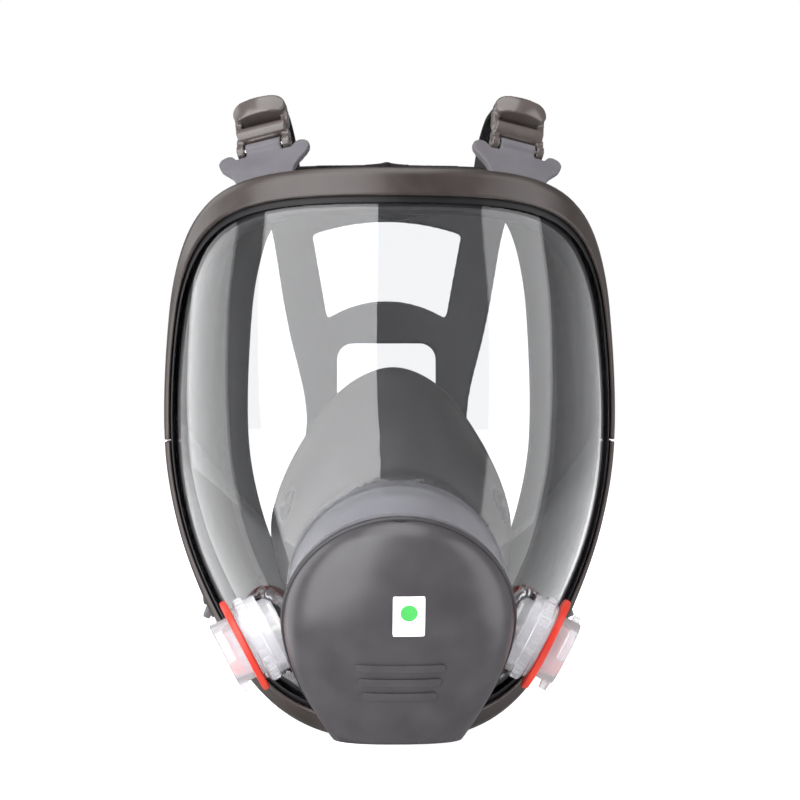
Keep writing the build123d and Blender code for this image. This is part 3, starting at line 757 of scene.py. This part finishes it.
hood_patch("hood_label_paper", label_paper, (3, 13), (12, 16), 0.35, 0.25, 0.6, ["hood_label"])
hood_patch("hood_label_spot", label_ink, (3, 14.5), (6.4, 6.4), 0.45, 0.15, 3.2)
for k in range(3):
    rounded(hood_patch(f"hood_grip_{k}", hood_nylon, (0, -9 - 6 * k), (34 - 3 * k, 3.0), 0.8, 1.2, 1.4), 0.4)

# %% [markdown]
# ## Port gaskets and connectors
# Each port has a red silicone ring with a rounded lip, then a clear bayonet tube whose three lugs grip a
# filter. Both are turned sections. A lug is a slice of ring: a section spun through only 48 degrees.

# %% Ports
def port_ring():
    bm = bmesh.new()
    spun(bm, [(13.5, -2.9), (19.0, -2.9), (19.5, -2.4), (19.5, -0.8), (19.0, -0.2), (17.4, 0.0),
              (16.6, -0.7), (14.6, -0.7), (13.5, -0.3)], PORT, steps=72)
    return bm


def bayonet_lug(turn):
    """One lug: a section of the flange spun through 48 degrees."""
    bm = bmesh.new()
    corners = ((12.6, 0, 3.8), (16.5, 0, 3.8), (16.5, 0, 6.6), (12.6, 0, 7.2))
    face = bm.faces.new([bm.verts.new(p) for p in corners])
    bmesh.ops.spin(bm, geom=[face, *face.edges, *face.verts], cent=(0, 0, 0), axis=(0, 0, 1), dvec=(0, 0, 0),
                   angle=math.radians(48), steps=10, use_merge=False, use_duplicate=False)
    bmesh.ops.transform(bm, matrix=PORT @ Matrix.Rotation(math.radians(turn), 4, "Z"), verts=bm.verts)
    return bm


def bayonet_tube():
    bm = bmesh.new()
    spun(bm, [(11.5, -12), (11.5, 6.9), (11.9, 7.5), (12.8, 7.5), (13.2, 6.9), (13.2, -18.5),
              (11.0, -18.5), (11.0, -12)], PORT, steps=72)
    return bm


gasket = finish_piece("port_gasket_ring_left", port_ring(), gasket_rubber, "mask", ["port_gasket_left"])
mirrored_copy(gasket, "port_gasket_ring_right", "mask", ["port_gasket_right"])
tube = finish_piece("bayonet_tube_left", bayonet_tube(), port_clear, "mask", ["port_connector_left"])
mirrored_copy(tube, "bayonet_tube_right", "mask", ["port_connector_right"])
for k in range(3):
    piece = rounded(finish_piece(f"bayonet_lug_{k}_left", bayonet_lug(120 * k + 20), port_clear, "mask"), 0.35)
    mirrored_copy(piece, f"bayonet_lug_{k}_right", "mask")

# %% [markdown]
# ## Carried-over nodes
# The adapter, the valves, the screws and the pins have their right shape in the CAD model, so they stay, and
# get their real finish.

# %% Finishes for the carried-over nodes
def refinish(node, material):
    part = nodes[node]
    part.data.materials.clear()
    part.data.materials.append(material)


refinish("adapter_body", adapter_nylon)
refinish("adapter_gasket", rim_shade_and_gasket_nylon)
for node in ("frame_screws", "frame_nuts", "buckle_pins_upper", "buckle_pins_lower"):
    refinish(node, pin_steel)
refinish("exhalation_valve", flap_silicone)
for side in ("left", "right"):
    refinish(f"inhalation_valve_{side}", flap_silicone)
    refinish(f"cup_valve_{side}", black_rubber)
    refinish(f"cup_valve_seat_{side}", black_rubber)

# %% [markdown]
# ## Moulded copies of drawn parts
# Buckles, tabs and the web are drawn with flat faces and sharp edges, while the real ones come out of a mould
# with soft corners. A copy of the drawn mesh is merged, rebuilt by a voxel remesh, and relaxed a little.

# %% Soft-edged copies
def moulded_copy(node, name, material, body, voxel_mm, relax, keep=None):
    """A remeshed and relaxed copy of a CAD node, or of the half of it where keep is +1 or -1."""
    bm = bmesh.new()
    bm.from_mesh(nodes[node].data)
    bmesh.ops.remove_doubles(bm, verts=bm.verts, dist=1e-6)
    if keep:
        gone = [v for v in bm.verts if v.co.x * keep < 0]
        bmesh.ops.delete(bm, geom=gone, context="VERTS")
    mesh = bpy.data.meshes.new(name)
    bm.to_mesh(mesh)
    bm.free()
    piece = bpy.data.objects.new(name, mesh)
    bpy.context.scene.collection.objects.link(piece)
    remesh = piece.modifiers.new("remesh", "REMESH")
    remesh.mode, remesh.voxel_size = "VOXEL", voxel_mm * MM
    relaxed = piece.modifiers.new("relax", "SMOOTH")
    relaxed.factor, relaxed.iterations = 0.5, relax
    shaped = bpy.data.meshes.new_from_object(piece.evaluated_get(bpy.context.evaluated_depsgraph_get()))
    piece.modifiers.clear()
    piece.data = shaped
    shaped.materials.clear()
    shaped.materials.append(material)
    shaped.shade_smooth()
    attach(piece, body)
    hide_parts(node)
    print(name, len(shaped.polygons), "faces")
    return piece


for level in ("upper", "lower"):
    for side, sign in (("left", 1), ("right", -1)):
        moulded_copy(f"buckle_{level}_{side}", f"buckle_{level}_{side}_moulding", buckle_acetal,
                     f"buckle_{level}_{side}_turning", 0.42, 3)
        moulded_copy(f"tabs_{level}", f"tab_{level}_{side}_moulding", tab_rubber, "mask",
                     0.5, 4, sign)
moulded_copy("head_harness", "harness_web_moulding", harness_rubber, "mask", 0.9, 3)

# %% [markdown]
# ## Straps
# The straps are flat moulded rubber, 16 mm wide. Each comes through its buckle's slit, lies behind the buckle
# and runs round to a corner of the web, where a ray cast onto the web finds the height it lies at.

# %% Straps
STRAP_HALF, STRAP_DEEP = 8.0, 1.1
STRAP_SECTION = [(-1, -0.6), (-0.94, -1), (0.94, -1), (1, -0.6), (1, 0.6), (0.94, 1), (-0.94, 1), (-1, 0.6)]


def strap_frame(pin, along, across):
    """The buckle's matrix: X across the strap, Y along it and Z out of its front."""
    x = Vector(across).normalized()
    y = Vector(along)
    y = (y - x * y.dot(x)).normalized()
    return Matrix.Translation(Vector(pin)) @ Matrix((x, y, x.cross(y))).transposed().to_4x4()


UPPER_BUCKLE = strap_frame((53, -7, 123), (0.03, 0.53, 0.85), (0.95, 0.2, -0.22))
LOWER_BUCKLE = strap_frame((73, 24, -60), (-0.02, 0.97, -0.2), (0.35, -0.24, -0.9))


def strap_sections(route, across_start, across_end, steps=6):
    """Sections of a strap along a smooth line through the route, its width turning as it goes."""
    line = []
    ends = [route[0] * 2 - route[1], *route, route[-1] * 2 - route[-2]]
    for a, b, c, d in zip(ends, ends[1:], ends[2:], ends[3:]):
        for step in range(steps):
            t = step / steps
            line.append(0.5 * (2 * b + (c - a) * t + (2 * a - 5 * b + 4 * c - d) * t * t
                               + (3 * b - 3 * c + d - a) * t ** 3))
    line.append(route[-1])
    sections = []
    for i, here in enumerate(line):
        along = (line[min(i + 1, len(line) - 1)] - line[max(i - 1, 0)]).normalized()
        wide = Vector(across_start).lerp(Vector(across_end), i / (len(line) - 1))
        wide = (wide - along * wide.dot(along)).normalized()
        deep = along.cross(wide)
        sections.append([here + wide * (a * STRAP_HALF) + deep * (b * STRAP_DEEP) for a, b in STRAP_SECTION])
    return sections


def strap(level, buckle, points, across, across_end):
    behind = [buckle @ Vector(p) for p in ((0, 5, -4.4), (0, 12, -4.4), (0, 19.2, -4.6), (0, 24, -6.5))]
    route = behind + [Vector(p) for p in points]
    bm = bmesh.new()
    sweep(bm, strap_sections(route, across, across_end))
    left = finish_piece(f"strap_{level}_left", bm, harness_rubber, None)
    bm = bmesh.new()
    bm.from_mesh(left.data)
    bmesh.ops.scale(bm, vec=(-1 / MM, 1 / MM, 1 / MM), verts=bm.verts)
    right = finish_piece(f"strap_{level}_right", bm, harness_rubber, None)
    for piece, side, sign in ((left, "left", 1), (right, "right", -1)):
        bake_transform(piece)
        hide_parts(f"slack_{level}_{side}", f"straps_{level}")
        rounded(piece, 0.3, 1)


web_surface = BVHTree.FromPolygons([v.co for v in nodes["head_harness"].data.vertices],
                                   [list(f.vertices) for f in nodes["head_harness"].data.polygons])


def on_web(x, z):
    """The point of a strap's middle line where it lies on the back of the web."""
    hit = web_surface.ray_cast(Vector((x * MM, 0.2, z * MM)), Vector((0, -1, 0)))[0]
    print("web at", x, z, "is", round(hit.y / MM, 1))
    return x, hit.y / MM + 1.3, z


strap("upper", UPPER_BUCKLE,
      ((51.5, 20, 139), (50, 32, 136), (47.5, 42, 126), on_web(45, 110), on_web(43, 96)),
      (0.95, 0.2, -0.22), (0.93, -0.37, -0.1))
strap("lower", LOWER_BUCKLE, ((60, 57, -64), (49, 62, -54), (40, 59, -42), on_web(33, -28), on_web(30, -16)),
      (-0.35, 0.24, 0.9), (0.7, -0.3, 0.65))

# %% [markdown]
# ## Floor and camera
# A pale floor meets a white studio. It glows a little and is left out of reflections, so it runs into the
# background. The camera is about a metre off, nearly level and a touch to the wearer's right.

# %% Floor and camera
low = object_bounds()[0]
bpy.ops.mesh.primitive_plane_add(size=8, location=(0, 0, low.z - 0.0005))
floor = bpy.context.object
floor.name = "studio_floor"
floor_white = moulded("matt_white_floor", "#f4f4f4", "#f8f8f8", 0.8, 4.0, 0.02, cloud_mm=300)
glow = next(n for n in floor_white.node_tree.nodes if n.type == "BSDF_PRINCIPLED")
glow.inputs["Emission Color"].default_value = linear("#ffffff")
glow.inputs["Emission Strength"].default_value = 0.85
floor.data.materials.append(floor_white)
floor.visible_glossy = False

camera_data = bpy.data.cameras.new("camera")
camera_data.sensor_width, camera_data.lens = 36, 106
camera = bpy.data.objects.new("camera", camera_data)
bpy.context.scene.collection.objects.link(camera)
bpy.context.scene.camera = camera
AZIMUTH, ELEVATION, DISTANCE = math.radians(-2.0), math.radians(1.0), 1.0
target = Vector((0.0042, 0.0, 0.0169))
back = Vector((math.sin(AZIMUTH) * math.cos(ELEVATION),
               -math.cos(AZIMUTH) * math.cos(ELEVATION),
               math.sin(ELEVATION)))
camera.location = target + back * DISTANCE
camera.rotation_euler = (-back).to_track_quat("-Z", "Y").to_euler()
print("camera at", [round(c, 3) for c in camera.location])

# %% [markdown]
# ## Lights
# A convex visor mirrors the whole studio as upright bands, so the lights are placed by those bands: a wide
# softbox on the viewer's left, a dimmer one on the right, one behind on the left for the edge, and one
# overhead. Each is set by the direction it is seen in from the mask, in degrees. The studio is white to the
# eye and through the plastic, and dim for every other ray, which keeps the bands clear.

# %% Lights and the white studio
def softbox(name, azimuth, elevation, distance, width, height, power):
    """An area light at a direction from the mask, facing it."""
    data = bpy.data.lights.new(name, "AREA")
    data.shape, data.size, data.size_y, data.energy = "RECTANGLE", width, height, power
    light = bpy.data.objects.new(name, data)
    bpy.context.scene.collection.objects.link(light)
    a, e = math.radians(azimuth), math.radians(elevation)
    way = Vector((math.sin(a) * math.cos(e), -math.cos(a) * math.cos(e), math.sin(e)))
    light.location = way * distance
    light.rotation_euler = (-way).to_track_quat("-Z", "Y").to_euler()


softbox("left_softbox", -41, 8, 1.3, 1.6, 2.4, 50)
softbox("right_softbox", 72, 5, 1.3, 0.9, 2.2, 14)
softbox("left_rear_softbox", -115, 5, 1.3, 0.9, 1.8, 9)
softbox("overhead", -10, 70, 1.4, 1.2, 1.2, 14)
world = bpy.data.worlds.new("white_studio")
bpy.context.scene.world = world
world.use_nodes = True
tree = world.node_tree
dim = next(n for n in tree.nodes if n.type == "BACKGROUND")
dim.inputs["Color"].default_value, dim.inputs["Strength"].default_value = linear("#ffffff"), 0.25
bright = add(tree, "ShaderNodeBackground", inputs={"Color": linear("#ffffff"), "Strength": 1.0})
path = add(tree, "ShaderNodeLightPath")
seen = add(tree, "ShaderNodeMath", {"operation": "MAXIMUM"})
tree.links.new(path.outputs["Is Camera Ray"], seen.inputs[0])
tree.links.new(path.outputs["Is Transmission Ray"], seen.inputs[1])
mix = add(tree, "ShaderNodeMixShader", links={"Fac": seen.outputs[0]})
tree.links.new(dim.outputs["Background"], mix.inputs[1])
tree.links.new(bright.outputs["Background"], mix.inputs[2])
world_output = next(n for n in tree.nodes if n.type == "OUTPUT_WORLD")
tree.links.new(mix.outputs["Shader"], world_output.inputs["Surface"])
bpy.context.scene.view_settings.view_transform = "Standard"
print("studio ready")
